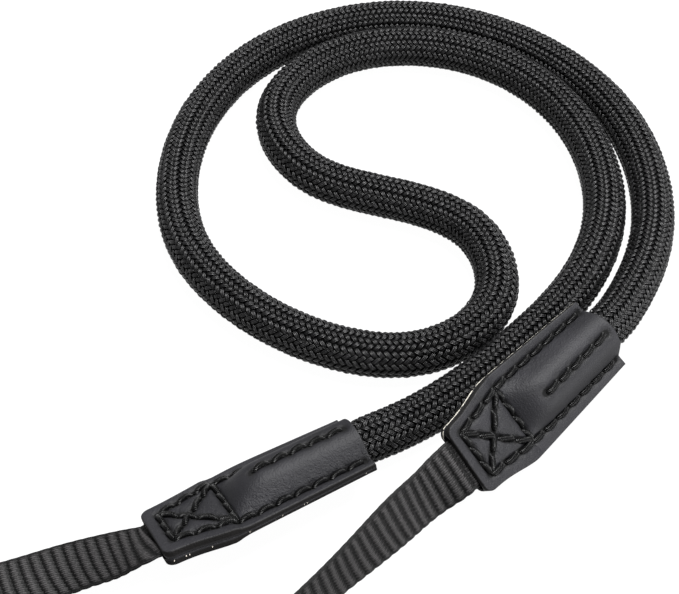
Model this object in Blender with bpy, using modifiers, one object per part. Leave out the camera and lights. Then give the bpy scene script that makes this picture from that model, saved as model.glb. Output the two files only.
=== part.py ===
"""Camera neck strap: a round braided rope, a stitched leather tab round each of its ends,
and the flat webbing end that each tab holds.

Metres, +Z up. The strap lies on the plane z = 0. Sizes are written in millimetres times MM.
A tab's own axes: x runs from its webbing end to the mouth where the rope leaves it,
y runs across it, and z = 0 is the seam between its two leather layers.
"""
import math

import bmesh
import bpy
import numpy as np
from mathutils import Euler, Matrix, Vector

MM = 0.001
NAME = "camera_neck_strap"

# Rope
ROPE_DIAMETER = 10.0 * MM
ROPE_INSIDE_TAB = 21.0 * MM
ROPE_SQUEEZE = 0.96              # the rope's share of its diameter where the leather grips it
ROPE_STEP_SHARE = 0.95           # rings of the tube, in rope diameters
MOUTH_SWELL = 3.5 * MM           # past the mouth the rope is back at its full diameter

# Leather
LEATHER_THICKNESS = 1.0 * MM
CLEARANCE = 0.15 * MM            # between two faces that touch on the real strap
TAB_LENGTH = 46.2 * MM
TAB_END_WIDTH = 16.4 * MM
TAB_CROSS_WIDTH = 20.6 * MM
TAB_MOUTH_WIDTH = 17.6 * MM
TAB_CORNER_RADIUS = 2.0 * MM
CROSS_LINE = 15.8 * MM           # the widest place, where the box stitching ends
TUNNEL_START_WIDTH = 13.2 * MM   # between the two seams beside the rope, at the cross line
TUNNEL_MOUTH_WIDTH = 12.0 * MM
TUNNEL_SLOPE = 8.8 * MM          # length of the rounded rise from the cross line to the full height
FOLD_RADIUS = 0.45 * MM          # softness of the fold at the foot of the tunnel

# Webbing
WEBBING_WIDTH = 12.0 * MM
WEBBING_THICKNESS = 1.2 * MM
WEBBING_INSIDE_TAB = 13.6 * MM
WEBBING_STRAIGHT = 1.0 * MM      # it leaves the tab straight
WEBBING_STEP = 2.0 * MM
WEBBING_COLUMNS = 3

# Outline of a tab: half of its width along its length.
# Columns: share of the length before the cross line, then the share of the way
# from the end width to the cross width.
TAB_WIDENING = (
    (0.00, 0.00),
    (0.30, 0.08),
    (0.55, 0.42),
    (0.80, 0.86),
    (1.00, 1.00),
)

# Where a leather layer's mesh has its rows and columns: angles round an end corner, shares of
# the tunnel's rise, and shares of half the tunnel's width, up to where the flange starts.
CORNER_ANGLES = (0.0, 35.0, 62.0)
SLOPE_ROWS = (0.08, 0.2, 0.36, 0.56, 0.78)
TUNNEL_COLUMNS = (0.0, 0.19, 0.37, 0.53, 0.68, 0.82, 0.93, 1.01, 1.10, 1.22)
FLANGE_START = 1.34

# Place of each tab. Columns: name, its webbing end (mm), roll, pitch and yaw (degrees),
# and the twist of the leather from its webbing end to the mouth (degrees).
TABS = (
    ("left", (-31.68, -18.45, 6.05), -22.8, -0.6, 28.55, 5.4),
    ("right", (30.73, -1.67, 7.58), 34.0, 0.8, 46.74, -8.4),
)

# The rope's route between the two mouths (mm), from the right tab round to the left one.
ROPE_ROUTE = (
    (65.9, 36.0, 6.2),
    (69.5, 41.4, 5.6),
    (77.8, 59.8, 5.05),
    (79.9, 81.7, 5.0),
    (74.4, 103.0, 5.0),
    (61.7, 120.8, 5.0),
    (43.5, 133.0, 5.0),
    (22.1, 137.7, 5.0),
    (0.7, 133.4, 5.0),
    (-17.5, 121.2, 5.0),
    (-29.3, 102.8, 5.0),
    (-33.8, 81.3, 5.0),
    (-30.2, 59.8, 5.0),
    (-17.1, 42.2, 5.0),
    (1.6, 30.7, 5.0),
    (23.3, 28.3, 5.0),
    (39.9, 41.9, 5.0),
    (36.9, 62.9, 5.0),
    (18.1, 73.6, 5.0),
    (-1.9, 82.3, 5.0),
    (-10.6, 101.8, 5.0),
    (0.5, 120.2, 5.0),
    (21.0, 127.2, 5.0),
    (42.4, 122.5, 5.0),
    (58.9, 108.2, 5.0),
    (67.6, 88.0, 5.0),
    (67.6, 66.1, 5.0),
    (58.8, 46.0, 5.0),
    (44.4, 29.4, 5.05),
    (27.7, 14.9, 5.3),
    (16.6, 7.7, 6.0),
)

# Where each webbing runs past its tab (mm), and how far its outer edge is raised (degrees).
# Columns: x, y, z of the middle, tilt. A positive tilt raises the edge on the right of the way out.
WEBBING_ROUTES = {
    "left": (
        (-37.3, -20.3, 4.6, -14.0),
        (-43.3, -21.2, 2.8, -7.5),
        (-49.9, -22.6, 1.3, -3.0),
        (-58.2, -25.3, 0.7, -0.5),
        (-66.7, -28.0, 0.7, 0.0),
    ),
    "right": (
        (24.6, -6.6, 6.0, 53.0),
        (18.5, -12.4, 5.9, 58.0),
        (10.7, -20.4, 6.0, 68.0),
        (2.4, -28.8, 6.1, 78.0),
        (-4.9, -36.3, 6.2, 80.0),
    ),
}

MATERIALS = {
    "braided_rope": ((0.012, 0.012, 0.013), 0.75),
    "leather": ((0.045, 0.045, 0.050), 0.45),
    "webbing": ((0.040, 0.038, 0.036), 0.85),
}


def clear_scene():
    for old in list(bpy.data.objects):
        bpy.data.objects.remove(old, do_unlink=True)


def make_material(name):
    colour, roughness = MATERIALS[name]
    material = bpy.data.materials.new(name)
    material.use_nodes = True
    shader = material.node_tree.nodes["Principled BSDF"]
    shader.inputs["Base Color"].default_value = (*colour, 1.0)
    shader.inputs["Roughness"].default_value = roughness
    shader.inputs["Metallic"].default_value = 0.0
    return material


def smooth_step(value):
    value = min(1.0, max(0.0, value))
    return value * value * (3.0 - 2.0 * value)


# Smooth curves

def spline_through(rows):
    """Natural cubic spline through the rows, over their chord length: its evaluator and length."""
    rows = np.array(rows, dtype=float)
    chords = np.linalg.norm(np.diff(rows[:, :3], axis=0), axis=1)
    knots = np.concatenate(([0.0], np.cumsum(chords)))
    count = len(rows)
    system = np.eye(count)
    target = np.zeros_like(rows)
    for i in range(1, count - 1):
        before, after = chords[i - 1], chords[i]
        system[i, i - 1:i + 2] = (before, 2.0 * (before + after), after)
        target[i] = 6.0 * ((rows[i + 1] - rows[i]) / after - (rows[i] - rows[i - 1]) / before)
    bends = np.linalg.solve(system, target)

    def evaluate(place):
        i = min(max(int(np.searchsorted(knots, place)) - 1, 0), count - 2)
        span = knots[i + 1] - knots[i]
        right = (place - knots[i]) / span
        left = 1.0 - right
        curve = left * rows[i] + right * rows[i + 1]
        bend = (left ** 3 - left) * bends[i] + (right ** 3 - right) * bends[i + 1]
        return curve + bend * span * span / 6.0

    return evaluate, knots[-1]


# Leather tabs

def tab_rotation(roll, pitch, yaw):
    return Euler((math.radians(roll), math.radians(pitch), math.radians(yaw)), "XYZ")


def tab_matrix(tab):
    _, place, roll, pitch, yaw, _ = tab
    turn = tab_rotation(roll, pitch, yaw).to_matrix().to_4x4()
    return Matrix.Translation(Vector(place) * MM) @ turn


def tab_half_width(x):
    """Half of the tab's width at x."""
    half_end = TAB_END_WIDTH / 2
    half_cross = TAB_CROSS_WIDTH / 2
    half_mouth = TAB_MOUTH_WIDTH / 2
    if x >= CROSS_LINE:
        way = (x - CROSS_LINE) / (TAB_LENGTH - CROSS_LINE)
        return half_cross + (half_mouth - half_cross) * way
    share = x / CROSS_LINE
    for (left, low), (right, high) in zip(TAB_WIDENING, TAB_WIDENING[1:]):
        if share <= right:
            way = low + (high - low) * (share - left) / (right - left)
            break
    half = half_end + (half_cross - half_end) * way
    if x < TAB_CORNER_RADIUS:
        short = TAB_CORNER_RADIUS - x
        half -= TAB_CORNER_RADIUS - math.sqrt(TAB_CORNER_RADIUS ** 2 - short ** 2)
    return half


def tunnel_radius():
    return ROPE_DIAMETER / 2 * ROPE_SQUEEZE + CLEARANCE


def tunnel_start():
    return TAB_LENGTH - ROPE_INSIDE_TAB - CLEARANCE - TUNNEL_SLOPE


def tunnel_foot(x):
    """Half of the tunnel's width at x."""
    way = min(1.0, max(0.0, (x - tunnel_start()) / (TAB_LENGTH - tunnel_start())))
    return (TUNNEL_START_WIDTH + (TUNNEL_MOUTH_WIDTH - TUNNEL_START_WIDTH) * way) / 2


def tunnel_height(x, y):
    """Height of the leather's inner face over the rope: an arc, then straight down to the seam."""
    radius = tunnel_radius()
    foot = tunnel_foot(x)
    rise = min(1.0, max(0.0, (x - tunnel_start()) / TUNNEL_SLOPE))
    share = math.sin(rise * math.pi / 2)
    touch = radius * radius / foot
    if abs(y) <= touch:
        return share * math.sqrt(radius * radius - y * y)
    return share * (foot - abs(y)) * radius / math.sqrt(foot * foot - radius * radius)


def inner_height(x, y):
    """Height of a leather layer's inner face above the seam, over the webbing, the rope or neither."""
    over_webbing = WEBBING_THICKNESS / 2 + CLEARANCE
    closed = CLEARANCE / 2
    past = x - WEBBING_INSIDE_TAB - CLEARANCE
    room = max(tunnel_start() - WEBBING_INSIDE_TAB, CLEARANCE)
    flat = over_webbing + (closed - over_webbing) * smooth_step(past / room)
    raised = tunnel_height(x, y)
    return 0.5 * (raised + flat + math.hypot(raised - flat, FOLD_RADIUS))


def layer_rows():
    """Places of a layer's rows along the tab: close together at the corners and the tunnel's start."""
    corner = [TAB_CORNER_RADIUS * (1.0 - math.cos(math.radians(angle))) for angle in CORNER_ANGLES]
    box = list(np.linspace(TAB_CORNER_RADIUS, tunnel_start(), 7))
    slope = [tunnel_start() + TUNNEL_SLOPE * share for share in SLOPE_ROWS]
    tunnel = list(np.linspace(TAB_LENGTH - ROPE_INSIDE_TAB - CLEARANCE, TAB_LENGTH, 7))
    return corner + box + slope + tunnel


def layer_columns(x):
    """Places of a layer's columns across the tab at x: arc, straight side, fold and flange."""
    half = tab_half_width(x)
    foot = tunnel_foot(x)
    limit = half / (foot * FLANGE_START)
    inner = [foot * share * min(1.0, limit) for share in TUNNEL_COLUMNS]
    outer = [inner[-1] + (half - inner[-1]) * share for share in (0.5, 1.0)]
    places = inner + outer
    return [-y for y in reversed(places[1:])] + places


def twisted(x, y, z, twist):
    """The point turned about the tab's axis, by its share of the twist from the middle of the tab."""
    angle = math.radians(twist) * (x / TAB_LENGTH - 0.5)
    return Vector((x, y * math.cos(angle) - z * math.sin(angle), y * math.sin(angle) + z * math.cos(angle)))


def make_layer(name, tab, side, collection, material):
    """One leather layer of a tab. Side is 1 for the top layer and -1 for the bottom one."""
    twist = tab[5]
    rows = layer_rows()
    column_count = len(layer_columns(0.0))
    mesh = bpy.data.meshes.new(name)
    cage = bmesh.new()
    bmesh.ops.create_grid(cage, x_segments=len(rows) - 1, y_segments=column_count - 1, size=0.5)
    for vertex in cage.verts:
        row = round((vertex.co.x + 0.5) * (len(rows) - 1))
        column = round((vertex.co.y + 0.5) * (column_count - 1))
        x = rows[row]
        y = layer_columns(x)[column]
        vertex.co = twisted(x, y, side * inner_height(x, y), twist)
    if side < 0:
        bmesh.ops.reverse_faces(cage, faces=cage.faces)
    cage.to_mesh(mesh)
    cage.free()
    layer = bpy.data.objects.new(name, mesh)
    collection.objects.link(layer)
    wall = layer.modifiers.new("leather wall", "SOLIDIFY")
    wall.thickness = LEATHER_THICKNESS
    wall.offset = 1.0
    wall.use_even_offset = True
    mesh.materials.append(material)
    mesh.shade_smooth()
    return layer


# Webbing

def inside_rows(tab):
    """Rows of the webbing inside its tab, from its hidden end to just past the tab's edge."""
    _, _, roll, _, _, twist = tab
    matrix = tab_matrix(tab)
    rows = []
    for x in (WEBBING_INSIDE_TAB, WEBBING_INSIDE_TAB / 2, 0.0, -WEBBING_STRAIGHT):
        place = matrix @ Vector((x, 0.0, 0.0))
        rows.append((*place, roll + twist * (x / TAB_LENGTH - 0.5)))
    return rows


def webbing_rows(tab):
    """Every row of the webbing: the place of its middle and its tilt in degrees."""
    outside = [(x * MM, y * MM, z * MM, tilt) for x, y, z, tilt in WEBBING_ROUTES[tab[0]]]
    evaluate, length = spline_through(inside_rows(tab) + outside)
    count = round(length / WEBBING_STEP)
    return [evaluate(length * i / count) for i in range(count + 1)]


def make_webbing(name, tab, collection, material):
    rows = webbing_rows(tab)
    mesh = bpy.data.meshes.new(name)
    cage = bmesh.new()
    bmesh.ops.create_grid(cage, x_segments=len(rows) - 1, y_segments=WEBBING_COLUMNS, size=0.5)
    for vertex in cage.verts:
        row = round((vertex.co.x + 0.5) * (len(rows) - 1))
        before = Vector(rows[max(row - 1, 0)][:3])
        after = Vector(rows[min(row + 1, len(rows) - 1)][:3])
        way_out = (after - before).normalized()
        right = way_out.cross(Vector((0.0, 0.0, 1.0))).normalized()
        upward = right.cross(way_out)
        tilt = math.radians(rows[row][3])
        across = right * math.cos(tilt) + upward * math.sin(tilt)
        vertex.co = Vector(rows[row][:3]) - across * vertex.co.y * WEBBING_WIDTH
    cage.to_mesh(mesh)
    cage.free()
    webbing = bpy.data.objects.new(name, mesh)
    collection.objects.link(webbing)
    weave = webbing.modifiers.new("webbing thickness", "SOLIDIFY")
    weave.thickness = WEBBING_THICKNESS
    weave.offset = 0.0
    weave.use_even_offset = True
    mesh.materials.append(material)
    mesh.shade_smooth()
    return webbing


# Rope

def rope_route():
    """The rope's whole route, with the two straight stretches inside the tabs."""
    left, right = (tab_matrix(tab) for tab in TABS)
    inside = (1.0, 0.5, 0.0)
    start = [right @ Vector((TAB_LENGTH - ROPE_INSIDE_TAB * share, 0.0, 0.0)) for share in inside]
    finish = [left @ Vector((TAB_LENGTH - ROPE_INSIDE_TAB * share, 0.0, 0.0)) for share in inside]
    free = [Vector(point) * MM for point in ROPE_ROUTE]
    return start + free + finish[::-1]


def rope_rings():
    """Places of the tube's rings along the rope, each with its share of the rope's diameter."""
    evaluate, length = spline_through(rope_route())
    gripped = ROPE_INSIDE_TAB + CLEARANCE
    free_start = gripped + MOUTH_SWELL
    free_length = length - 2 * free_start
    count = round(free_length / (ROPE_DIAMETER * ROPE_STEP_SHARE))
    free = [(free_start + free_length * i / count, 1.0) for i in range(count + 1)]
    start = [(0.0, ROPE_SQUEEZE), (gripped / 2, ROPE_SQUEEZE), (gripped, ROPE_SQUEEZE)]
    finish = [(length - place, share) for place, share in reversed(start)]
    return [(evaluate(place), share) for place, share in start + free + finish]


def make_rope(name, collection, material):
    rings = rope_rings()
    curve = bpy.data.curves.new(name, "CURVE")
    curve.dimensions = "3D"
    curve.bevel_depth = ROPE_DIAMETER / 2
    curve.bevel_resolution = 4
    curve.use_fill_caps = True
    spline = curve.splines.new("POLY")
    spline.points.add(len(rings) - 1)
    for point, (place, share) in zip(spline.points, rings):
        point.co = (*place, 1.0)
        point.radius = share
    curve.materials.append(material)
    rope = bpy.data.objects.new(name, curve)
    collection.objects.link(rope)
    return rope


# Assembly

def make_tab(tab, collection, material):
    """The two leather layers of a tab, on an empty that places them."""
    name = tab[0]
    holder = bpy.data.objects.new(name + "_tab", None)
    holder.empty_display_size = TAB_LENGTH / 4
    holder.location = Vector(tab[1]) * MM
    holder.rotation_euler = tab_rotation(*tab[2:5])
    collection.objects.link(holder)
    for layer_name, side in (("top", 1), ("bottom", -1)):
        layer = make_layer(name + "_tab_" + layer_name, tab, side, collection, material)
        layer.parent = holder


def main():
    clear_scene()
    collection = bpy.data.collections.new(NAME)
    bpy.context.scene.collection.children.link(collection)
    materials = {name: make_material(name) for name in MATERIALS}
    make_rope("rope", collection, materials["braided_rope"])
    for tab in TABS:
        make_tab(tab, collection, materials["leather"])
        make_webbing(tab[0] + "_webbing", tab, collection, materials["webbing"])


main()
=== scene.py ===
import math

import bpy
import numpy as np
from mathutils import Euler, Matrix, Vector


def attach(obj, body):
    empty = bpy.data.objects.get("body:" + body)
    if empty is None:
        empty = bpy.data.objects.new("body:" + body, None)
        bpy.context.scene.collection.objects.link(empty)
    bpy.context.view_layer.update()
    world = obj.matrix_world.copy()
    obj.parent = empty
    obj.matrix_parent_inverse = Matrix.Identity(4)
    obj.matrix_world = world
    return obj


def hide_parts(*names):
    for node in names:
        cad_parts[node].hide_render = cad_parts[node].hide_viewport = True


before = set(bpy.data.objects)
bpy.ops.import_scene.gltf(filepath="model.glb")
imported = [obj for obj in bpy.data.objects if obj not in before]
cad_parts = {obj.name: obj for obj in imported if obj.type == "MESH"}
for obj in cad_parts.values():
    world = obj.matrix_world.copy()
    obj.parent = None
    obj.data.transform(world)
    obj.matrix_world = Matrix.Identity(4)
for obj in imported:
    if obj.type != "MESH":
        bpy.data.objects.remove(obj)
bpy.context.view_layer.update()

MM = 0.001

# Sizes repeated from the part
ROPE_DIAMETER = 10.0 * MM
ROPE_INSIDE_TAB = 21.0 * MM
ROPE_SQUEEZE = 0.96
MOUTH_SWELL = 3.5 * MM
LEATHER_THICKNESS = 1.0 * MM
CLEARANCE = 0.15 * MM
TAB_LENGTH = 46.2 * MM
TAB_END_WIDTH = 16.4 * MM
TAB_CROSS_WIDTH = 20.6 * MM
TAB_MOUTH_WIDTH = 17.6 * MM
TAB_CORNER_RADIUS = 2.0 * MM
CROSS_LINE = 15.8 * MM
TUNNEL_START_WIDTH = 13.2 * MM
TUNNEL_MOUTH_WIDTH = 12.0 * MM
TUNNEL_SLOPE = 8.8 * MM
FOLD_RADIUS = 0.45 * MM
WEBBING_WIDTH = 12.0 * MM
WEBBING_THICKNESS = 1.2 * MM
WEBBING_INSIDE_TAB = 13.6 * MM
WEBBING_STRAIGHT = 1.0 * MM

# Columns: name, webbing end (mm), roll, pitch, yaw, twist (degrees)
TABS = (
    ("left", (-31.68, -18.45, 6.05), -22.8, -0.6, 28.55, 5.4),
    ("right", (30.73, -1.67, 7.58), 34.0, 0.8, 46.74, -8.4),
)

# The rope's route between the two mouths (mm), from the right tab round to the left one
ROPE_ROUTE = (
    (65.9, 36.0, 6.2),
    (69.5, 41.4, 5.6),
    (77.8, 59.8, 5.05),
    (79.9, 81.7, 5.0),
    (74.4, 103.0, 5.0),
    (61.7, 120.8, 5.0),
    (43.5, 133.0, 5.0),
    (22.1, 137.7, 5.0),
    (0.7, 133.4, 5.0),
    (-17.5, 121.2, 5.0),
    (-29.3, 102.8, 5.0),
    (-33.8, 81.3, 5.0),
    (-30.2, 59.8, 5.0),
    (-17.1, 42.2, 5.0),
    (1.6, 30.7, 5.0),
    (23.3, 28.3, 5.0),
    (39.9, 41.9, 5.0),
    (36.9, 62.9, 5.0),
    (18.1, 73.6, 5.0),
    (-1.9, 82.3, 5.0),
    (-10.6, 101.8, 5.0),
    (0.5, 120.2, 5.0),
    (21.0, 127.2, 5.0),
    (42.4, 122.5, 5.0),
    (58.9, 108.2, 5.0),
    (67.6, 88.0, 5.0),
    (67.6, 66.1, 5.0),
    (58.8, 46.0, 5.0),
    (44.4, 29.4, 5.05),
    (27.7, 14.9, 5.3),
    (16.6, 7.7, 6.0),
)

# Columns: x, y, z of the webbing's middle (mm), tilt (degrees)
WEBBING_ROUTES = {
    "left": (
        (-37.3, -20.3, 4.6, -14.0),
        (-43.3, -21.2, 2.8, -7.5),
        (-49.9, -22.6, 1.3, -3.0),
        (-58.2, -25.3, 0.7, -0.5),
        (-66.7, -28.0, 0.7, 0.0),
    ),
    "right": (
        (24.6, -6.6, 6.0, 53.0),
        (18.5, -12.4, 5.9, 58.0),
        (10.7, -20.4, 6.0, 68.0),
        (2.4, -28.8, 6.1, 78.0),
        (-4.9, -36.3, 6.2, 80.0),
    ),
}

# Rope, its core and its braid
ROPE_STEP = 0.5 * MM                    # from one point of the centreline to the next
CORE_STRIDE = 4                         # steps of the centreline to a ring of the core
CORE_SIDES = 20
CORE_DEPTH = 0.62 * MM                  # the core lies this far under the rope's plain skin
BRAID_COLUMNS = 20
BRAID_PITCH = 1.51 * MM                 # from one strand to the next along a column
BRAID_ANGLE = math.radians(46.0)        # strands against the rope's axis
BRAID_START = ROPE_INSIDE_TAB - 5 * MM  # from the rope's cut end to the first strand
BRAID_FILL = 0.98                       # a strand's width against the room it has
BRAID_TUCK = 0.40 * MM                  # each end runs this far under its neighbour
BRAID_SINK = 0.38 * MM                  # where a strand vanishes, it lies this far under its middle
BRAID_ROUND = 0.28 * MM                 # its sides lie this far under its middle
BRAID_ROUND_POWER = 2.2                 # the higher, the flatter its middle
BRAID_SWELL = 0.13 * MM                 # its middle stands this far out of the rope's plain skin
BRAID_SWAY = math.radians(1.8)          # spread of the strands' angles
BRAID_SHIFT = 0.03 * MM                 # spread of their places and depths
BRAID_SEED = 11
BRAID_PIECES = 4
STRAND_STEPS = 6                        # faces along a strand
STRAND_WIDTHS = 4                       # faces across it

# Stitching of a tab. Places (mm) are in the tab's own plane, with y towards its long seam.
SEAM_MOUTH = (44.7, 6.4)                # where the long seam ends
SHORT_SEAM = (23.1, 44.0)               # the short seam runs over the crown from here to there
SHORT_SEAM_ROW = 1                      # its place in the list of tab_seams
THREAD_RADIUS = 0.70 * MM
THREAD_THINNING = 0.30                  # share of its radius that a stitch loses at its ends
THREAD_LIFT = 0.74                      # its middle lies this many radii over the leather
THREAD_LIFT_SPREAD = 0.12
THREAD_DIVE = 1.10 * MM                 # its ends lie this far under its middle
THREAD_GAP = 0.28 * MM                  # from the middle of a hole to the stitch's end
THREAD_SLANT = (0.12, 0.26)             # least and most that an end lies beside the seam's line (mm)
THREAD_TURNS = 4.0                      # turns of the ply over a stitch
THREAD_SIDES = 10
THREAD_POINTS = 11
THREAD_SEEDS = {1: 7, -1: 8}            # for the top and the bottom layer

# How deep the stitching pulls the leather in, and how far away from it that reaches
NARROW_SINK, NARROW_REACH = 0.26 * MM, 0.55 * MM
BROAD_SINK, BROAD_REACH = 0.56 * MM, 1.3 * MM
SHORT_SINK, SHORT_REACH = 0.15 * MM, 1.3 * MM
HOLE_SINK, HOLE_REACH = 0.80 * MM, 0.75 * MM
SINK_LIMIT = 0.85 * MM

# Corners of the stitched box (mm): at the end on the long side and the other one, then at the cross line
BOX_CORNERS = {
    "left": ((3.1, 4.4), (3.1, -5.25), (15.8, 7.4), (15.8, -7.3)),
    "right": ((2.9, 5.6), (3.1, -5.25), (15.8, 7.4), (15.8, -6.7)),
}

# Leather layers: rows and columns of points, and their rounded raw edges
GRID_STEP = 0.36 * MM
GRID_COLUMNS = 53
GRID_MARGINS = (0.75 * MM, 0.8 * MM)    # from the ends and the sides to the even part of the grid
EDGE_STEPS = np.array((0.0, 0.05, 0.15, 0.30, 0.50)) * MM
EDGE_ROUND = 0.36 * MM
EDGE_INSIDE = 0.10                      # share of the rounding that the inner face has
EDGE_RAW = 0.30 * MM                    # the darker raw edge reaches this far in
GROOVE_SHADE_REACH = 0.66 * MM                # painted shade: leather is darker this near to a seam
HOLE_SHADE_REACH = 1.00 * MM            # and this near to a stitch hole

# The look of each tab: how strongly the leather is crumpled beside the long seam, how much of a painted
# highlight, a broken pale line, the bottom layer's raw edge shows there, where along that edge white
# specks lie (mm), and how much narrower the tab is on its other side beside the box
WRINKLES = {"left": 1.0, "right": 0.6}
RIM_HIGHLIGHT = {"left": 0.0, "right": 1.0}
SPECKS = {"left": (1.4, 3.8, 4.6, 9.1, 17.0, 24.3, 29.1, 29.9, 43.8), "right": (12.0,)}
BOX_TRIM = {"left": 0.9 * MM, "right": 0.0}
BOX_TRIM_MIDDLE, BOX_TRIM_REACH = 13.5 * MM, 6.0 * MM
WRINKLE_START = 19 * MM                 # wrinkles set in this far from the webbing's end
WRINKLE_FADE = 5 * MM                   # and fade over this length before it
WRINKLE_WIDTH = 3.0 * MM
BOX_WRINKLES = 0.50                     # how strongly the leather inside the box is crumpled

# Webbing
RIB_PITCH = 2.3 * MM
RIB_STEPS = 8                           # rows of points to a rib
RIB_DEPTH = 0.52 * MM
RIB_POWER = 0.62                        # the lower, the fuller the ribs and the narrower the grooves
RIB_START = {"left": 1.9 * MM, "right": 0.8 * MM}  # from the webbing's inner end to a groove
SCALLOP, SCALLOP_NEAR = 0.05, 0.17      # grooves cut into both edges, and more into the near one (mm)
SELVAGE = 0.9 * MM                      # plain strip along both edges
SELVAGE_START = 1.3                     # it sets in this many of its widths from the edge
SELVAGE_HEIGHT, SELVAGE_RIPPLE = 0.45, 0.15  # against a rib's height
EDGE_THICKNESS = 0.30                   # against the thickness in the middle
EDGE_POWER = 10                         # the higher, the nearer to the edge it thins
WEBBING_YARNS = 25                      # side by side over the ribs
YARN_POINTS = 4                         # columns of points to a yarn
YARN_DEPTH = 0.11 * MM
YARN_STAGGER = 0.09 * MM                # every other yarn crosses the grooves this much later

# How the ribs run over the webbing, read from the photo. Columns: distance from the webbing's inner end,
# lean of a rib's far end along the webbing, bend of its near end towards the tab (mm)
RIB_LEAN = {
    "left": (
        (14.0, 1.2, 0.0),
        (18.0, 1.8, 0.2),
        (24.0, 1.8, 1.2),
        (32.0, 1.0, 1.4),
        (42.0, 0.4, 1.0),
    ),
    "right": (
        (14.0, -0.2, 0.0),
        (20.0, -0.5, 0.0),
        (27.0, 0.1, 0.7),
        (40.0, 0.5, 0.7),
    ),
}

# Camera, read from the photo: it looks at TARGET from CAMERA_DISTANCE
TARGET = (5.3 * MM, 47.6 * MM, 0.0)
CAMERA_DISTANCE = 326.1 * MM
CAMERA_ELEVATION = math.radians(52.0)
FRAME_WIDTH = 679
FOCAL_PIXELS = 1413.0
SENSOR_WIDTH = 36.0


# Node helpers

def new_material(name):
    material = bpy.data.materials.new(name)
    material.use_nodes = True
    tree = material.node_tree
    return material, tree, tree.nodes["Principled BSDF"]


def add_node(tree, kind, **values):
    node = tree.nodes.new(kind)
    for name, value in values.items():
        if name in node.inputs:
            node.inputs[name].default_value = value
        else:
            setattr(node, name, value)
    return node


def add_ramp(tree, source, stops):
    ramp = tree.nodes.new("ShaderNodeValToRGB")
    elements = ramp.color_ramp.elements
    while len(elements) < len(stops):
        elements.new(0.5)
    for element, (place, colour) in zip(elements, stops):
        element.position = place
        element.color = (*colour, 1.0)
    tree.links.new(source, ramp.inputs["Fac"])
    return ramp.outputs["Color"]


def add_bump(tree, height, distance, strength=1.0, normal=None):
    bump = add_node(tree, "ShaderNodeBump", Strength=strength, Distance=distance)
    tree.links.new(height, bump.inputs["Height"])
    if normal is not None:
        tree.links.new(normal, bump.inputs["Normal"])
    return bump.outputs["Normal"]


def add_math(tree, operation, first, second=None):
    node = tree.nodes.new("ShaderNodeMath")
    node.operation = operation
    for socket, value in zip(node.inputs, (first, second)):
        if value is None:
            continue
        if isinstance(value, (int, float)):
            socket.default_value = value
        else:
            tree.links.new(value, socket)
    return node.outputs[0]


# Smooth curves

class Route:
    """Natural cubic spline through rows of numbers, over the chord length of their places."""

    def __init__(self, rows):
        self.rows = np.array(rows, dtype=float)
        self.chords = np.linalg.norm(np.diff(self.rows[:, :3], axis=0), axis=1)
        self.knots = np.concatenate(([0.0], np.cumsum(self.chords)))
        self.length = self.knots[-1]
        count = len(self.rows)
        system = np.eye(count)
        target = np.zeros_like(self.rows)
        for i in range(1, count - 1):
            before, after = self.chords[i - 1], self.chords[i]
            system[i, i - 1:i + 2] = (before, 2.0 * (before + after), after)
            rise = (self.rows[i + 1] - self.rows[i]) / after
            target[i] = 6.0 * (rise - (self.rows[i] - self.rows[i - 1]) / before)
        self.bends = np.linalg.solve(system, target)

    def at(self, places):
        i = np.clip(np.searchsorted(self.knots, places) - 1, 0, len(self.rows) - 2)
        span = (self.knots[i + 1] - self.knots[i])[:, None]
        right = (places - self.knots[i])[:, None] / span
        left = 1.0 - right
        curve = left * self.rows[i] + right * self.rows[i + 1]
        bend = (left ** 3 - left) * self.bends[i] + (right ** 3 - right) * self.bends[i + 1]
        return curve + bend * span * span / 6.0

    def even(self, step):
        """Rows at even distances along the curve, and those distances."""
        dense = self.at(np.linspace(0.0, self.length, 8000))
        run = np.concatenate(([0.0], np.cumsum(np.linalg.norm(np.diff(dense[:, :3], axis=0), axis=1))))
        places = np.linspace(0.0, run[-1], max(2, round(run[-1] / step) + 1))
        rows = np.stack([np.interp(places, run, column) for column in dense.T], axis=1)
        return rows, places


def unit(vectors):
    return vectors / np.linalg.norm(vectors, axis=-1, keepdims=True)


def smooth_step(values):
    values = np.clip(values, 0.0, 1.0)
    return values * values * (3.0 - 2.0 * values)


# Mesh helpers

def add_mesh(name, points, groups, material):
    """A smooth mesh. Each group is an array of faces with the same count of corners, one a row."""
    mesh = bpy.data.meshes.new(name)
    loops = np.concatenate([group.ravel() for group in groups]).astype(np.int32)
    sides = np.concatenate([np.full(len(group), group.shape[1]) for group in groups])
    starts = np.concatenate(([0], np.cumsum(sides)[:-1])).astype(np.int32)
    mesh.vertices.add(len(points))
    mesh.vertices.foreach_set("co", np.asarray(points, dtype=np.float32).ravel())
    mesh.loops.add(len(loops))
    mesh.loops.foreach_set("vertex_index", loops)
    mesh.polygons.add(len(starts))
    mesh.polygons.foreach_set("loop_start", starts)
    mesh.polygons.foreach_set("use_smooth", np.ones(len(starts), dtype=bool))
    mesh.update()
    mesh.validate()
    mesh.materials.append(material)
    piece = bpy.data.objects.new(name, mesh)
    bpy.context.scene.collection.objects.link(piece)
    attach(piece, "root")
    return piece


def add_uv(piece, per_vertex):
    mesh = piece.data
    layer = mesh.uv_layers.new(name="UVMap")
    index = np.empty(len(mesh.loops), dtype=np.int32)
    mesh.loops.foreach_get("vertex_index", index)
    layer.data.foreach_set("uv", np.asarray(per_vertex, dtype=np.float32)[index].ravel())


def add_attribute(piece, name, per_vertex):
    attribute = piece.data.attributes.new(name, "FLOAT", "POINT")
    attribute.data.foreach_set("value", np.asarray(per_vertex, dtype=np.float32))


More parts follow.
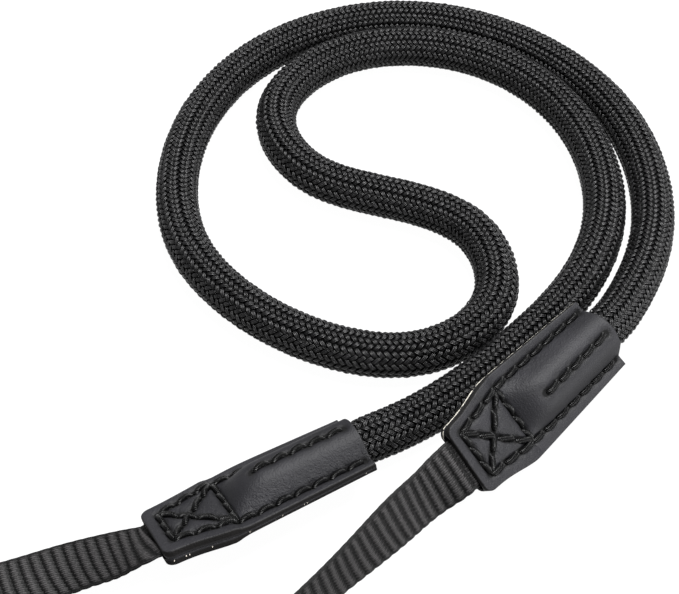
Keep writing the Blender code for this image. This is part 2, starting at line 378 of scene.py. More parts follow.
def grid_faces(rows, columns, start=0, close_rows=False, close_columns=False):
    """Quads of a grid of points numbered row by row."""
    i = np.arange(rows if close_rows else rows - 1)
    j = np.arange(columns if close_columns else columns - 1)
    i, j = np.meshgrid(i, j, indexing="ij")
    i, j = i.ravel(), j.ravel()
    below, beside = (i + 1) % rows, (j + 1) % columns
    corners = (i * columns + j, below * columns + j, below * columns + beside, i * columns + beside)
    return start + np.stack(corners, axis=1)


# Tabs

def tab_seams(name):
    """Seams of a tab in its own plane. Columns: from, to, count of stitches."""
    mirror = -1.0 if name == "left" else 1.0
    end_long, end_other, cross_long, cross_other = BOX_CORNERS[name]
    mouth_long, mouth_other = SEAM_MOUTH, (SEAM_MOUTH[0], -SEAM_MOUTH[1])
    rows = (
        (cross_long, mouth_long, 7),
        ((SHORT_SEAM[0], 0.0), (SHORT_SEAM[1], 0.0), 5),
        (cross_other, mouth_other, 7),
        (end_long, cross_long, 3),
        (end_other, cross_other, 3),
        (end_other, end_long, 3),
        (cross_other, cross_long, 4),
        (end_long, cross_other, 4),
        (end_other, cross_long, 4),
    )
    flip = np.array((1.0, mirror)) * MM
    return [(np.array(start) * flip, np.array(end) * flip, count) for start, end, count in rows]


def tab_matrix(tab):
    _, place, roll, pitch, yaw, _ = tab
    turn = Euler([math.radians(angle) for angle in (roll, pitch, yaw)], "XYZ").to_matrix().to_4x4()
    return Matrix.Translation(Vector(place) * MM) @ turn


def to_world(tab, points):
    matrix = np.array(tab_matrix(tab))
    return points @ matrix[:3, :3].T + matrix[:3, 3]


# Columns: share of the length before the cross line, share of the way to the full width
TAB_WIDENING = np.array((
    (0.00, 0.00),
    (0.30, 0.08),
    (0.55, 0.42),
    (0.80, 0.86),
    (1.00, 1.00),
))


def plain_half_width(x):
    """Half of a tab's width before its corners are rounded."""
    share = np.clip(x / CROSS_LINE, 0.0, 1.0)
    shares, ways = TAB_WIDENING.T
    slopes = np.gradient(ways, shares)
    i = np.clip(np.searchsorted(shares, share) - 1, 0, len(shares) - 2)
    span = shares[i + 1] - shares[i]
    t = (share - shares[i]) / span
    way = ((2 * t ** 3 - 3 * t ** 2 + 1) * ways[i] + (t ** 3 - 2 * t ** 2 + t) * span * slopes[i]
           + (3 * t ** 2 - 2 * t ** 3) * ways[i + 1] + (t ** 3 - t ** 2) * span * slopes[i + 1])
    half = TAB_END_WIDTH / 2 + (TAB_CROSS_WIDTH - TAB_END_WIDTH) / 2 * way
    past = np.clip((x - CROSS_LINE) / (TAB_LENGTH - CROSS_LINE), 0.0, 1.0)
    return half + (TAB_MOUTH_WIDTH - TAB_CROSS_WIDTH) / 2 * past


def tab_half_width(x):
    """Half of a tab's width, with its widest place and its corners at the webbing's end rounded."""
    soft = 2.2 * MM
    beside = plain_half_width(x - soft) + plain_half_width(x + soft)
    half = 0.25 * beside + 0.5 * plain_half_width(x)
    short = np.clip(TAB_CORNER_RADIUS - x, 0.0, TAB_CORNER_RADIUS)
    return half - TAB_CORNER_RADIUS + np.sqrt(TAB_CORNER_RADIUS ** 2 - short ** 2)


TUNNEL_RADIUS = ROPE_DIAMETER / 2 * ROPE_SQUEEZE + CLEARANCE
TUNNEL_START = TAB_LENGTH - ROPE_INSIDE_TAB - CLEARANCE - TUNNEL_SLOPE


def tunnel_height(x, y):
    """Height of the bulge's inner face over the rope: an arc with a straight side down to each foot."""
    way = np.clip((x - TUNNEL_START) / (TAB_LENGTH - TUNNEL_START), 0.0, 1.0)
    foot = (TUNNEL_START_WIDTH + (TUNNEL_MOUTH_WIDTH - TUNNEL_START_WIDTH) * way) / 2
    share = np.sin(np.clip((x - TUNNEL_START) / TUNNEL_SLOPE, 0.0, 1.0) * math.pi / 2)
    across = np.abs(y)
    arc = np.sqrt(np.clip(TUNNEL_RADIUS ** 2 - across ** 2, 0.0, None))
    side = (foot - across) * TUNNEL_RADIUS / np.sqrt(foot ** 2 - TUNNEL_RADIUS ** 2)
    return share * np.where(across <= TUNNEL_RADIUS ** 2 / foot, arc, side)


def inner_height(x, y):
    """Height of a layer's inner face: the bulge, or the flat part over the webbing, with a soft fold."""
    over_webbing = WEBBING_THICKNESS / 2 + CLEARANCE
    closed = CLEARANCE / 2
    past = (x - WEBBING_INSIDE_TAB - CLEARANCE) / (TUNNEL_START - WEBBING_INSIDE_TAB)
    flat = over_webbing + (closed - over_webbing) * smooth_step(past)
    raised = tunnel_height(x, y)
    return 0.5 * (raised + flat + np.hypot(raised - flat, FOLD_RADIUS))


def seam_distances(x, y, seams):
    """Distance of each point to the nearest seam, to the short seam and to the nearest stitch hole."""
    lines, holes = [], []
    for start, end, count in seams:
        way = end - start
        share = np.clip(((x - start[0]) * way[0] + (y - start[1]) * way[1]) / (way @ way), 0.0, 1.0)
        lines.append(np.hypot(x - start[0] - share * way[0], y - start[1] - share * way[1]))
        for i in range(count + 1):
            place = start + way * i / count
            holes.append(np.hypot(x - place[0], y - place[1]))
    return np.min(lines, axis=0), lines[SHORT_SEAM_ROW], np.min(holes, axis=0)


def fade(distance, reach):
    """One at a line or a point, and nothing well past the reach."""
    return np.exp(-(distance / reach) ** 2)


def seam_sink(x, y, seams):
    """How far the stitching pulls the leather's outer face in."""
    line, short, hole = seam_distances(x, y, seams)
    narrow = NARROW_SINK * fade(line, NARROW_REACH)
    broad = BROAD_SINK * np.exp(-line / BROAD_REACH)
    pressed = SHORT_SINK * fade(short, SHORT_REACH)
    holes = HOLE_SINK * fade(hole, HOLE_REACH)
    return SINK_LIMIT * np.tanh((narrow + broad + pressed + holes) / SINK_LIMIT)


def surface_of(points):
    """Upward normals of a grid of points."""
    normal = unit(np.cross(np.gradient(points, axis=0), np.gradient(points, axis=1)))
    return normal * np.sign(normal[..., 2:])


def sheet_form(x, y, side, seams):
    """Inner and outer face of a leather layer and the way out of it, for a grid of places."""
    height = inner_height(x, y)
    inner = np.stack((x, y, height), axis=-1)
    normal = surface_of(inner)
    outer = inner + normal * (LEATHER_THICKNESS - seam_sink(x, y, seams))[..., None]
    beside_webbing = smooth_step((np.abs(y) - WEBBING_WIDTH / 2 - 0.3 * MM) / MM)
    shut = 0.01 * MM
    inner[..., 2] += (shut - height) * beside_webbing
    flip = np.array((1.0, 1.0, side))
    return inner * flip, outer * flip, normal * flip


def twist_points(points, twist):
    """Points of a tab after it is twisted about its own axis."""
    angle = math.radians(twist) * (points[..., 0] / TAB_LENGTH - 0.5)
    cos, sin = np.cos(angle), np.sin(angle)
    y, z = points[..., 1], points[..., 2]
    return np.stack((points[..., 0], y * cos - z * sin, y * sin + z * cos), axis=-1)


def layer_grid(trim):
    """Places over a layer and half its width there, less the trim on its other side beside the box."""
    end_margin, side_margin = GRID_MARGINS
    inside = np.linspace(end_margin, TAB_LENGTH - end_margin, round(TAB_LENGTH / GRID_STEP))
    xs = np.concatenate((EDGE_STEPS, inside, TAB_LENGTH - EDGE_STEPS[::-1]))
    typical = TAB_MOUTH_WIDTH / 2 + 0.5 * MM
    rim = 1.0 - EDGE_STEPS / typical
    flat = np.linspace(-1.0 + side_margin / typical, 1.0 - side_margin / typical, GRID_COLUMNS)
    shares = np.concatenate((-rim, flat, rim[::-1]))
    x = np.repeat(xs[:, None], len(shares), axis=1)
    trimmed = trim * fade(x - BOX_TRIM_MIDDLE, BOX_TRIM_REACH) * (shares < 0.0)[None, :]
    half = tab_half_width(x) - trimmed
    return x, half * shares[None, :], half


def closed_rim(rows, columns):
    """Indices of a grid's border points, in order round it."""
    return np.concatenate((
        np.arange(columns - 1),
        np.arange(rows - 1) * columns + columns - 1,
        (rows - 1) * columns + np.arange(columns - 1, 0, -1),
        np.arange(rows - 1, 0, -1) * columns,
    ))


def make_layer(tab, side_name, side, mirror, seams, material):
    """A leather layer: outer and inner face, joined by a rounded raw edge."""
    name = tab[0] + "_tab_" + side_name
    x, y, half = layer_grid(BOX_TRIM[tab[0]])
    y = y * mirror
    inner, outer, normal = sheet_form(x, y, side, seams)
    inward = np.minimum(np.minimum(x, TAB_LENGTH - x), half - np.abs(y))
    near = np.clip(1.0 - inward / EDGE_ROUND, 0.0, 1.0)
    shave = (EDGE_ROUND * (1.0 - np.sqrt(1.0 - near ** 2)))[..., None]
    outer = outer - normal * shave
    inner = inner + normal * shave * EDGE_INSIDE
    rows, columns = x.shape
    count = rows * columns
    border = closed_rim(rows, columns)
    rim = outer.reshape(-1, 3)[border] * 0.4 + inner.reshape(-1, 3)[border] * 0.6
    points = np.concatenate((outer.reshape(-1, 3), inner.reshape(-1, 3), rim))
    ring = 2 * count + np.arange(len(border))
    after, ring_after = np.roll(border, -1), np.roll(ring, -1)
    faces = np.concatenate((
        grid_faces(rows, columns),
        grid_faces(rows, columns, start=count)[:, ::-1],
        np.stack((border, after, ring_after, ring), axis=1),
        np.stack((ring, ring_after, after + count, border + count), axis=1),
    ))
    if side * mirror < 0:
        faces = faces[:, ::-1]
    world = to_world(tab, twist_points(points, tab[5]))
    piece = add_mesh(name + "_leather", world, [faces], material)
    line, _, hole = seam_distances(x, y, seams)
    beside_seam = (y * mirror - SEAM_MOUTH[1] * MM) / WRINKLE_WIDTH
    away = np.hypot(beside_seam, np.clip(WRINKLE_START - x, 0.0, None) / WRINKLE_FADE)
    in_box = (x < CROSS_LINE) * (line > 0.6 * MM)
    crumple = WRINKLES[tab[0]] * np.exp(-away ** 2) + BOX_WRINKLES * in_box
    edge = np.clip(1.0 - inward / EDGE_RAW, 0.0, 1.0)
    # painted shade in the seams' grooves and round the stitch holes
    groove_shade = fade(line, GROOVE_SHADE_REACH) + fade(hole, HOLE_SHADE_REACH)
    long_side = (y.ravel()[border] * mirror > 0.3 * TAB_END_WIDTH) & (side < 0)
    speck = np.zeros(len(border))
    for place in SPECKS[tab[0]]:
        speck[np.argmin(np.abs(x.ravel()[border] - place * MM) + (1.0 - long_side))] = 1.0
    none = np.zeros(count)
    no_rim = np.zeros(len(border))
    for attribute, values, rim_values in (
        ("crumple", crumple.ravel(), no_rim),
        ("edge", edge.ravel(), no_rim + 1.0),
        ("groove_shade", groove_shade.ravel(), no_rim),
        ("rim_highlight", none, RIM_HIGHLIGHT[tab[0]] * long_side),
        ("speck", none, speck * long_side),
    ):
        add_attribute(piece, attribute, np.concatenate((values, none, rim_values)))
    flat = np.stack((x, y), axis=-1).reshape(-1, 2) / (50 * MM) + 0.5
    add_uv(piece, np.concatenate((flat, flat, flat[border])))
    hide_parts(name)


def surface_at(x, y, side, seams):
    """Places on a layer's outer face and the way out of it, at single points."""
    step = 0.05 * MM * np.array((-1.0, 0.0, 1.0))
    places, normals = [], []
    for centre_x, centre_y in zip(x, y):
        local_x, local_y = np.meshgrid(centre_x + step, centre_y + step, indexing="ij")
        _, outer, normal = sheet_form(local_x, local_y, side, seams)
        places.append(outer[1, 1])
        normals.append(normal[1, 1])
    return np.array(places), np.array(normals)


def make_threads(tab, side_name, side, seams, material):
    """All of one face's stitches: short bowed tubes that dive into their holes."""
    points, faces, ends, uvs = [], [], [], []
    count = 0
    shares = np.linspace(0.0, 1.0, THREAD_POINTS)
    ring_order = np.arange(THREAD_SIDES)
    bow = np.abs(2.0 * shares - 1.0)
    turn = np.linspace(0.0, 2.0 * math.pi, THREAD_SIDES, endpoint=False)
    rng = np.random.default_rng(THREAD_SEEDS[side])
    for start, end, stitches in seams:
        for i in range(stitches):
            first = start + (end - start) * i / stitches
            last = start + (end - start) * (i + 1) / stitches
            way = unit(last - first)
            first, last = first + way * THREAD_GAP, last - way * THREAD_GAP
            slant = np.array((-way[1], way[0])) * rng.uniform(*THREAD_SLANT) * MM
            line = first + (last - first) * shares[:, None] + slant * (2.0 * shares[:, None] - 1.0)
            place, normal = surface_at(line[:, 0], line[:, 1], side, seams)
            radii = THREAD_LIFT + rng.uniform(-THREAD_LIFT_SPREAD, THREAD_LIFT_SPREAD)
            lift = THREAD_RADIUS * radii - THREAD_DIVE * bow ** 3
            centre = place + normal * lift[:, None]
            tangent = unit(np.gradient(centre, axis=0))
            across = unit(np.cross(tangent, normal))
            upward = np.cross(across, tangent)
            radius = THREAD_RADIUS * (1.0 - THREAD_THINNING * bow ** 4)
            ring = (across[:, None, :] * np.cos(turn)[None, :, None]
                    + upward[:, None, :] * np.sin(turn)[None, :, None])
            tube = centre[:, None, :] + ring * radius[:, None, None]
            points.append(tube.reshape(-1, 3))
            faces.append(grid_faces(THREAD_POINTS, THREAD_SIDES, start=count, close_columns=True))
            ends.append(count + ring_order)
            ends.append(count + (THREAD_POINTS - 1) * THREAD_SIDES + ring_order[::-1])
            around, along = np.meshgrid(turn / (2 * math.pi), shares * THREAD_TURNS + i)
            uvs.append(np.stack((around, along), axis=-1).reshape(-1, 2))
            count += THREAD_POINTS * THREAD_SIDES
    world = to_world(tab, twist_points(np.concatenate(points), tab[5]))
    groups = [np.concatenate(faces), np.array(ends)]
    piece = add_mesh(tab[0] + "_tab_" + side_name + "_thread", world, groups, material)
    add_uv(piece, np.concatenate(uvs))


# Rope

def rope_route():
    """The rope's centreline from its cut end in the right tab to the one in the left tab."""
    left, right = TABS
    inside = np.array([(TAB_LENGTH - ROPE_INSIDE_TAB * share, 0.0, 0.0) for share in (1.0, 0.5, 0.0)])
    free = np.array(ROPE_ROUTE) * MM
    return Route(np.concatenate((to_world(right, inside), free, to_world(left, inside)[::-1])))


def rope_frames():
    """The rope's centreline at even steps: places, run, upward and sideways directions and girth."""
    places, run = rope_route().even(ROPE_STEP)
    tangent = unit(np.gradient(places, axis=0))
    side = unit(np.cross(tangent, np.array((0.0, 0.0, 1.0))))
    upward = np.cross(side, tangent)
    inside = np.minimum(run, run[-1] - run) - ROPE_INSIDE_TAB
    girth = ROPE_SQUEEZE + (1.0 - ROPE_SQUEEZE) * smooth_step(inside / MOUTH_SWELL)
    return places, run, upward, side, girth


def along_rope(frames, run, angle, depth):
    """Points at a distance along the rope, an angle round it and a depth under its skin."""
    places, lengths, upward, side, girth = frames
    columns = np.concatenate((places, upward, side, girth[:, None]), axis=1)
    share = np.clip(run / lengths[-1], 0.0, 1.0) * (len(lengths) - 1)
    i = np.clip(share.astype(int), 0, len(lengths) - 2)
    part = (share - i)[..., None]
    row = columns[i] * (1.0 - part) + columns[i + 1] * part
    radius = (ROPE_DIAMETER / 2 * row[..., 9] - depth)[..., None]
    outward = row[..., 3:6] * np.cos(angle)[..., None] + row[..., 6:9] * np.sin(angle)[..., None]
    return row[..., :3] + radius * outward


def make_rope_core(frames, material):
    """The dark inside of the rope, which closes the gaps between the strands."""
    run = frames[1][::CORE_STRIDE]
    angle = np.linspace(0.0, 2.0 * math.pi, CORE_SIDES, endpoint=False)
    run_grid, angle_grid = np.meshgrid(run, angle, indexing="ij")
    points = along_rope(frames, run_grid, angle_grid, np.full(run_grid.shape, CORE_DEPTH))
    body = grid_faces(len(run), CORE_SIDES, close_columns=True)[:, ::-1]
    ring = np.arange(CORE_SIDES)
    ends = np.stack((ring[::-1], (len(run) - 1) * CORE_SIDES + ring))
    piece = add_mesh("rope_core", points.reshape(-1, 3), [body, ends], material)
    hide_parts("rope")
    return piece


def strand_faces():
    """Faces of one closed strand: its rounded top, a flat underside and two end caps."""
    wide = STRAND_WIDTHS + 1
    top = grid_faces(STRAND_STEPS + 1, wide)
    i = np.arange(STRAND_STEPS) * wide
    under = np.stack((i, i + STRAND_WIDTHS, i + wide + STRAND_WIDTHS, i + wide), axis=1)
    edge = np.arange(wide)
    caps = np.stack((edge, STRAND_STEPS * wide + edge[::-1]))
    return np.concatenate((top, under)), caps


def make_braid(frames, material):
    """Strands of the braid, each a small pillow that dives under its neighbours at both ends."""
    rng = np.random.default_rng(BRAID_SEED)
    length = frames[1][-1] - 2 * BRAID_START
    rows = round(length / BRAID_PITCH)
    pitch = length / rows
    column_width = math.pi * ROPE_DIAMETER / BRAID_COLUMNS
    half_visible = column_width / 2 / math.sin(BRAID_ANGLE)
    half_length = half_visible + BRAID_TUCK
    half_width = pitch * math.sin(BRAID_ANGLE) / 2 * BRAID_FILL
    lengthwise = np.linspace(-1, 1, STRAND_STEPS + 1)
    sideways = np.linspace(-1, 1, STRAND_WIDTHS + 1)
    u, v = np.meshgrid(lengthwise, sideways, indexing="ij")
    shape_depth = BRAID_SINK * (u * half_length / half_visible) ** 2
    shape_depth = shape_depth + BRAID_ROUND * np.abs(v) ** BRAID_ROUND_POWER
    row, column = np.meshgrid(np.arange(rows), np.arange(BRAID_COLUMNS), indexing="ij")
    turn = np.where(column % 2 == 0, 1.0, -1.0)[..., None, None]
    run_middle = BRAID_START + (row + 0.5 + 0.5 * (column % 2)) * pitch
    angle_middle = 2 * math.pi * column / BRAID_COLUMNS
    jitter = rng.normal(0.0, 1.0, (4,) + row.shape)
    sway = (BRAID_ANGLE + BRAID_SWAY * jitter[0])[..., None, None]
    across = u * half_length * np.sin(sway) * turn + v * half_width * np.cos(sway)
    along = u * half_length * np.cos(sway) - v * half_width * np.sin(sway) * turn
    run = run_middle[..., None, None] + along + BRAID_SHIFT * jitter[1][..., None, None]
    angle = angle_middle[..., None, None] + across / (ROPE_DIAMETER / 2)
    depth = shape_depth - BRAID_SWELL + BRAID_SHIFT * jitter[2][..., None, None]
    points = along_rope(frames, run, angle, depth)
    points[..., 2] = np.maximum(points[..., 2], 0.0)
    patch = (STRAND_STEPS + 1) * (STRAND_WIDTHS + 1)
    uv = np.stack((u * 0.5 + 0.5, v * 0.5 + 0.5), axis=-1).reshape(-1, 2)
    shapes = strand_faces()
    pieces = []
    limits = np.linspace(0, rows, BRAID_PIECES + 1).astype(int)
    for part, (low, high) in enumerate(zip(limits, limits[1:])):
        block = points[low:high].reshape(-1, 3)
        count = (high - low) * BRAID_COLUMNS
        starts = (np.arange(count) * patch)[:, None, None]
        groups = [(shape[None, :, ::-1] + starts).reshape(-1, shape.shape[1]) for shape in shapes]
        piece = add_mesh(f"rope_braid_{part + 1}", block, groups, material)
        strand = np.repeat(jitter[3][low:high].ravel(), patch)
        add_attribute(piece, "strand", strand)
        add_uv(piece, np.tile(uv, (count, 1)))
        pieces.append(piece)
    return pieces


# Webbing

def webbing_route(tab):
    """The webbing's middle line from its inner end outwards, with its tilt as a fourth column."""
    _, _, roll, _, _, twist = tab
    inside = []
    for x in (WEBBING_INSIDE_TAB, WEBBING_INSIDE_TAB / 2, 0.0, -WEBBING_STRAIGHT):
        place = to_world(tab, np.array((x, 0.0, 0.0)))
        inside.append((*place, roll + twist * (x / TAB_LENGTH - 0.5)))
    outside = [(x * MM, y * MM, z * MM, tilt) for x, y, z, tilt in WEBBING_ROUTES[tab[0]]]
    return Route(inside + outside)


def make_webbing(tab, material):
    """Ribbed webbing: rounded ribs across it, scalloped edges and a plain cut end."""
    name = tab[0] + "_webbing"
    rows, run = webbing_route(tab).even(RIB_PITCH / RIB_STEPS)
    middle = rows[:, :3]
    tilt = np.radians(rows[:, 3])[:, None]
    way_out = unit(np.gradient(middle, axis=0))
    right = unit(np.cross(way_out, np.array((0.0, 0.0, 1.0))))
    upward = np.cross(right, way_out)
    across = right * np.cos(tilt) + upward * np.sin(tilt)
    normal = np.cross(across, way_out)
    shares = np.linspace(-1.0, 1.0, YARN_POINTS * WEBBING_YARNS + 1)
    place = (shares + 1.0) / 2 * WEBBING_YARNS
    yarn_and_groove_shade = np.abs(np.sin(math.pi * place))
    stagger = YARN_STAGGER * np.where(place.astype(int) % 2 == 0, 1.0, -1.0)
    near = (1.0 - shares) / 2
    stations, leans, bends = np.array(RIB_LEAN[tab[0]]).T * MM
    lean = np.interp(run, stations, leans)[:, None] * shares
    lean = lean - np.interp(run, stations, bends)[:, None] * near ** 3
    past_groove = (run[:, None] - RIB_START[tab[0]] - lean - stagger) / RIB_PITCH
    rib_and_groove_shade = np.abs(np.sin(past_groove * math.pi)) ** RIB_POWER
    cut_in = MM * (SCALLOP + SCALLOP_NEAR * near) * (1.0 - rib_and_groove_shade)
    reach = (WEBBING_WIDTH / 2 - cut_in) * shares
    plain = smooth_step((np.abs(shares) - 1.0) * WEBBING_WIDTH / 2 / SELVAGE + SELVAGE_START)
    rib_and_groove_shade = rib_and_groove_shade + (SELVAGE_HEIGHT + SELVAGE_RIPPLE * rib_and_groove_shade - rib_and_groove_shade) * plain
    crown = EDGE_THICKNESS + (1.0 - EDGE_THICKNESS) * np.sqrt(1.0 - np.abs(shares) ** EDGE_POWER)
    half_thick = (WEBBING_THICKNESS / 2 - RIB_DEPTH * (1.0 - rib_and_groove_shade) - YARN_DEPTH * (1.0 - yarn_and_groove_shade)) * crown
    lateral = middle[:, None] + across[:, None] * reach[..., None]
    top = lateral + normal[:, None] * half_thick[..., None]
    bottom = lateral - normal[:, None] * half_thick[..., None]
    loop = np.concatenate((top, bottom[:, ::-1]), axis=1)
    count, around = loop.shape[:2]
    ring = np.arange(around)
    ends = np.stack((ring[::-1], (count - 1) * around + ring))
    groups = [grid_faces(count, around, close_columns=True)[:, ::-1], ends]
    piece = add_mesh(name + "_weave", loop.reshape(-1, 3), groups, material)
    wide = np.concatenate((shares, shares[::-1])) * WEBBING_WIDTH / 2
    uv = np.stack(np.broadcast_arrays(wide[None, :] / MM, run[:, None] / MM), axis=-1).reshape(-1, 2)
    add_uv(piece, uv)
    # the rib and yarn profiles also carry painted shade into the material: darker in the grooves between
    # ribs and between yarns
    add_attribute(piece, "rib_and_groove_shade", np.concatenate((rib_and_groove_shade, rib_and_groove_shade[:, ::-1]), axis=1).ravel())
    add_attribute(piece, "yarn_and_groove_shade", np.tile(np.concatenate((yarn_and_groove_shade, yarn_and_groove_shade[::-1])), count))
    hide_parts(name)


# Materials

def rope_material():
    material, tree, shader = new_material("braided rope")
    uv = tree.nodes.new("ShaderNodeUVMap")
    parts = tree.nodes.new("ShaderNodeSeparateXYZ")
    tree.links.new(uv.outputs["UV"], parts.inputs["Vector"])
    strand = add_node(tree, "ShaderNodeAttribute", attribute_name="strand").outputs["Fac"]
    yarn_and_groove_shade = add_math(tree, "SINE", add_math(tree, "MULTIPLY", parts.outputs["Y"], 3 * math.pi))
    yarn_and_groove_shade = add_math(tree, "ABSOLUTE", yarn_and_groove_shade)
    # painted shade: each strand's colour is darker towards its ends, where it dives under its neighbours
    middle = add_math(tree, "SINE", add_math(tree, "MULTIPLY", parts.outputs["X"], math.pi))
    place = tree.nodes.new("ShaderNodeTexCoord")
    fibre = add_node(tree, "ShaderNodeTexNoise", Scale=5200.0, Detail=2.0)
    tree.links.new(place.outputs["Object"], fibre.inputs["Vector"])
    tone = add_math(tree, "MULTIPLY", strand, 0.05)
    tone = add_math(tree, "ADD", tone, fibre.outputs["Fac"])
    tone = add_math(tree, "MULTIPLY", tone, add_math(tree, "POWER", middle, 0.7))
    # painted highlight and shade: a strand's colour is lighter on the crests of its yarns and darker in
    # the grooves between them
    yarn_light_and_shade = add_math(tree, "ADD", add_math(tree, "MULTIPLY", yarn_and_groove_shade, 0.7), 0.4)
    colour = add_ramp(tree, add_math(tree, "MULTIPLY", tone, yarn_light_and_shade), (
        (0.10, (0.0004, 0.0004, 0.0005)),
        (0.43, (0.0017, 0.0017, 0.0019)),
        (0.75, (0.0300, 0.0294, 0.0308)),
    ))
    tree.links.new(colour, shader.inputs["Base Color"])
    shader.inputs["Roughness"].default_value = 0.34
    shader.inputs["Specular IOR Level"].default_value = 0.235
    shader.inputs["Anisotropic"].default_value = 0.75
    shader.inputs["Anisotropic Rotation"].default_value = 0.25
    along = add_node(tree, "ShaderNodeTangent", direction_type="UV_MAP")
    tree.links.new(along.outputs["Tangent"], shader.inputs["Tangent"])
    normal = add_bump(tree, yarn_and_groove_shade, 0.17 * MM, 1.0)
    normal = add_bump(tree, fibre.outputs["Fac"], 0.05 * MM, 0.8, normal)
    tree.links.new(normal, shader.inputs["Normal"])
    return material


def core_material():
    material, tree, shader = new_material("rope core")
    place = tree.nodes.new("ShaderNodeTexCoord")
    fibre = add_node(tree, "ShaderNodeTexNoise", Scale=3000.0)
    tree.links.new(place.outputs["Object"], fibre.inputs["Vector"])
    colour = add_ramp(tree, fibre.outputs["Fac"], (
        (0.3, (0.0008, 0.0008, 0.0008)),
        (0.7, (0.0030, 0.0030, 0.0030)),
    ))
    tree.links.new(colour, shader.inputs["Base Color"])
    shader.inputs["Roughness"].default_value = 0.95
    shader.inputs["Specular IOR Level"].default_value = 0.05
    return material


def mix_colours(tree, share, first, second):
    """First and second are colours or sockets, mixed by the share."""
    mix = add_node(tree, "ShaderNodeMix", data_type="RGBA")
    tree.links.new(share, mix.inputs["Factor"])
    for socket, value in ((mix.inputs[6], first), (mix.inputs[7], second)):
        if isinstance(value, tuple):
            socket.default_value = (*value, 1.0)
        else:
            tree.links.new(value, socket)
    return mix.outputs[2]


def leather_material():
    material, tree, shader = new_material("leather")
    place = tree.nodes.new("ShaderNodeTexCoord")
    grain = add_node(tree, "ShaderNodeTexVoronoi", Scale=3300.0, feature="SMOOTH_F1")
    fine = add_node(tree, "ShaderNodeTexNoise", Scale=5000.0, Detail=3.0)
    cloud = add_node(tree, "ShaderNodeTexNoise", Scale=140.0, Detail=3.0)
    creases = add_node(tree, "ShaderNodeTexNoise", Scale=850.0, Detail=4.0, Distortion=1.8)
    specks = add_node(tree, "ShaderNodeTexNoise", Scale=900.0, Detail=2.0)
    for texture in (grain, fine, cloud, creases, specks):
        tree.links.new(place.outputs["Object"], texture.inputs["Vector"])
    masks = {name: add_node(tree, "ShaderNodeAttribute", attribute_name=name).outputs["Fac"]
             for name in ("crumple", "edge", "groove_shade", "rim_highlight", "speck")}
    colour = add_ramp(tree, cloud.outputs["Fac"], (
        (0.30, (0.0033, 0.0033, 0.0043)),
        (0.55, (0.0048, 0.0047, 0.0061)),
        (0.80, (0.0069, 0.0067, 0.0085)),
    ))
    # painted shade: the colour is darker in the seams' grooves and round the stitch holes
    colour = mix_colours(tree, masks["groove_shade"], colour, (0.0004, 0.0004, 0.0005))
    colour = mix_colours(tree, masks["edge"], colour, (0.0012, 0.0009, 0.0008))
    # painted highlight: a broken pale line on the bottom layer's raw edge along the long side
    rim_highlight = add_math(tree, "MULTIPLY", specks.outputs["Fac"], masks["rim_highlight"])
    rim_highlight = add_math(tree, "GREATER_THAN", rim_highlight, 0.38)
    colour = mix_colours(tree, rim_highlight, colour, (0.42, 0.40, 0.35))
    speck = add_math(tree, "GREATER_THAN", masks["speck"], 0.72)
    colour = mix_colours(tree, speck, colour, (0.42, 0.38, 0.34))
    tree.links.new(colour, shader.inputs["Base Color"])
    spread = {"From Min": 0.2, "From Max": 0.8, "To Min": 0.56, "To Max": 0.68}
    rough = add_node(tree, "ShaderNodeMapRange", **spread)
    tree.links.new(fine.outputs["Fac"], rough.inputs["Value"])
    dull = add_math(tree, "MAXIMUM", masks["edge"], add_math(tree, "MINIMUM", masks["groove_shade"], 1.0))
    rough = add_math(tree, "MAXIMUM", rough.outputs["Result"], add_math(tree, "MULTIPLY", dull, 0.95))
    tree.links.new(rough, shader.inputs["Roughness"])
    shader.inputs["Specular IOR Level"].default_value = 0.188
    crumple = add_math(tree, "MULTIPLY", creases.outputs["Fac"], masks["crumple"])
    normal = add_bump(tree, crumple, 0.40 * MM, 0.9)
    normal = add_bump(tree, grain.outputs["Distance"], 0.09 * MM, 0.8, normal)
    normal = add_bump(tree, fine.outputs["Fac"], 0.04 * MM, 0.6, normal)
    tree.links.new(normal, shader.inputs["Normal"])
    return material


def thread_material():
    material, tree, shader = new_material("thread")
    uv = tree.nodes.new("ShaderNodeUVMap")
    parts = tree.nodes.new("ShaderNodeSeparateXYZ")
    tree.links.new(uv.outputs["UV"], parts.inputs["Vector"])
    spiral = add_math(tree, "ADD", parts.outputs["X"], parts.outputs["Y"])
    ply_and_groove_shade = add_math(tree, "SINE", add_math(tree, "MULTIPLY", spiral, 4 * math.pi))
    ply_and_groove_shade = add_math(tree, "ABSOLUTE", ply_and_groove_shade)
    # painted shade: the thread's colour is darker in the grooves between its plies
    colour = add_ramp(tree, ply_and_groove_shade, ((0.0, (0.0003, 0.0003, 0.0003)), (0.5, (0.0010, 0.0010, 0.0011))))
    tree.links.new(colour, shader.inputs["Base Color"])
    shader.inputs["Roughness"].default_value = 0.34
    shader.inputs["Specular IOR Level"].default_value = 0.165
    tree.links.new(add_bump(tree, ply_and_groove_shade, 0.14 * MM, 0.9), shader.inputs["Normal"])
    return material


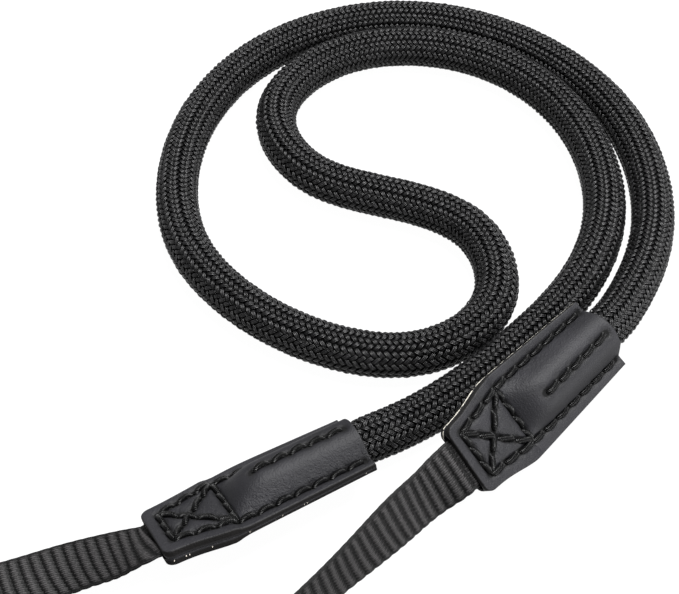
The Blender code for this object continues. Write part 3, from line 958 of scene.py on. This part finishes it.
def webbing_material():
    material, tree, shader = new_material("webbing")
    yarn_and_groove_shade = add_node(tree, "ShaderNodeAttribute", attribute_name="yarn_and_groove_shade").outputs["Fac"]
    rib_and_groove_shade = add_node(tree, "ShaderNodeAttribute", attribute_name="rib_and_groove_shade").outputs["Fac"]
    place = tree.nodes.new("ShaderNodeTexCoord")
    fibre = add_node(tree, "ShaderNodeTexNoise", Scale=2600.0, Detail=4.0)
    tree.links.new(place.outputs["Object"], fibre.inputs["Vector"])
    # painted shade: the colour is darker in the grooves between the ribs and between the yarns
    tone = add_math(tree, "MULTIPLY", fibre.outputs["Fac"], add_math(tree, "ADD", yarn_and_groove_shade, 0.3))
    tone = add_math(tree, "ADD", tone, add_math(tree, "MULTIPLY", rib_and_groove_shade, 1.2))
    colour = add_ramp(tree, add_math(tree, "MULTIPLY", tone, 0.5), (
        (0.44, (0.0003, 0.0003, 0.0003)),
        (0.66, (0.0028, 0.0027, 0.0028)),
        (0.95, (0.0270, 0.0257, 0.0262)),
    ))
    tree.links.new(colour, shader.inputs["Base Color"])
    shader.inputs["Roughness"].default_value = 0.55
    shader.inputs["Specular IOR Level"].default_value = 0.10
    tree.links.new(add_bump(tree, fibre.outputs["Fac"], 0.12 * MM, 0.8), shader.inputs["Normal"])
    return material


# Stage

def make_camera():
    camera_data = bpy.data.cameras.new("camera")
    camera_data.sensor_width = SENSOR_WIDTH
    camera_data.lens = FOCAL_PIXELS * SENSOR_WIDTH / FRAME_WIDTH
    camera_data.clip_start = 0.01
    camera = bpy.data.objects.new("camera", camera_data)
    back = Vector((0.0, -math.cos(CAMERA_ELEVATION), math.sin(CAMERA_ELEVATION)))
    camera.location = Vector(TARGET) + back * CAMERA_DISTANCE
    camera.rotation_euler = (math.pi / 2 - CAMERA_ELEVATION, 0.0, 0.0)
    bpy.context.scene.collection.objects.link(camera)
    bpy.context.scene.camera = camera


def make_floor():
    mesh = bpy.data.meshes.new("floor")
    half = 3.0
    corners = [(-half, -half, 0), (half, -half, 0), (half, half, 0), (-half, half, 0)]
    mesh.from_pydata(corners, [], [(0, 1, 2, 3)])
    floor = bpy.data.objects.new("floor", mesh)
    floor.location.z = -0.02 * MM
    bpy.context.scene.collection.objects.link(floor)
    material, tree, shader = new_material("white floor")
    shader.inputs["Base Color"].default_value = (0.035, 0.035, 0.035, 1.0)
    shader.inputs["Roughness"].default_value = 1.0
    shader.inputs["Specular IOR Level"].default_value = 0.0
    shader.inputs["Emission Color"].default_value = (1.0, 1.0, 1.0, 1.0)
    shader.inputs["Emission Strength"].default_value = 0.98
    mesh.materials.append(material)


def add_area(name, place, target, size, power):
    light = bpy.data.lights.new(name, "AREA")
    light.shape = "DISK"
    light.size = size
    light.energy = power
    lamp = bpy.data.objects.new(name, light)
    lamp.location = place
    lamp.rotation_euler = (Vector(target) - Vector(place)).to_track_quat("-Z", "Y").to_euler()
    bpy.context.scene.collection.objects.link(lamp)


def make_lights():
    world = bpy.data.worlds.new("studio")
    world.use_nodes = True
    background = world.node_tree.nodes["Background"]
    background.inputs["Color"].default_value = (1.0, 1.0, 1.0, 1.0)
    background.inputs["Strength"].default_value = 0.60
    bpy.context.scene.world = world
    middle = (0.01, 0.05, 0.0)
    add_area("key", (0.24, 0.29, 0.95), middle, 0.60, 44.0)
    add_area("side", (0.80, -0.40, 0.15), middle, 0.4, 13.5)


# Everything in its place
make_camera()
make_floor()
make_lights()
bpy.context.scene.view_settings.view_transform = "Standard"

ROPE_FRAMES = rope_frames()
rope_core = make_rope_core(ROPE_FRAMES, core_material())
braid = make_braid(ROPE_FRAMES, rope_material())

leather = leather_material()
thread = thread_material()
webbing = webbing_material()
for tab in TABS:
    mirror = -1 if tab[0] == "left" else 1
    seams = tab_seams(tab[0])
    for side_name, side in (("top", 1), ("bottom", -1)):
        make_layer(tab, side_name, side, mirror, seams, leather)
        make_threads(tab, side_name, side, seams, thread)
    make_webbing(tab, webbing)
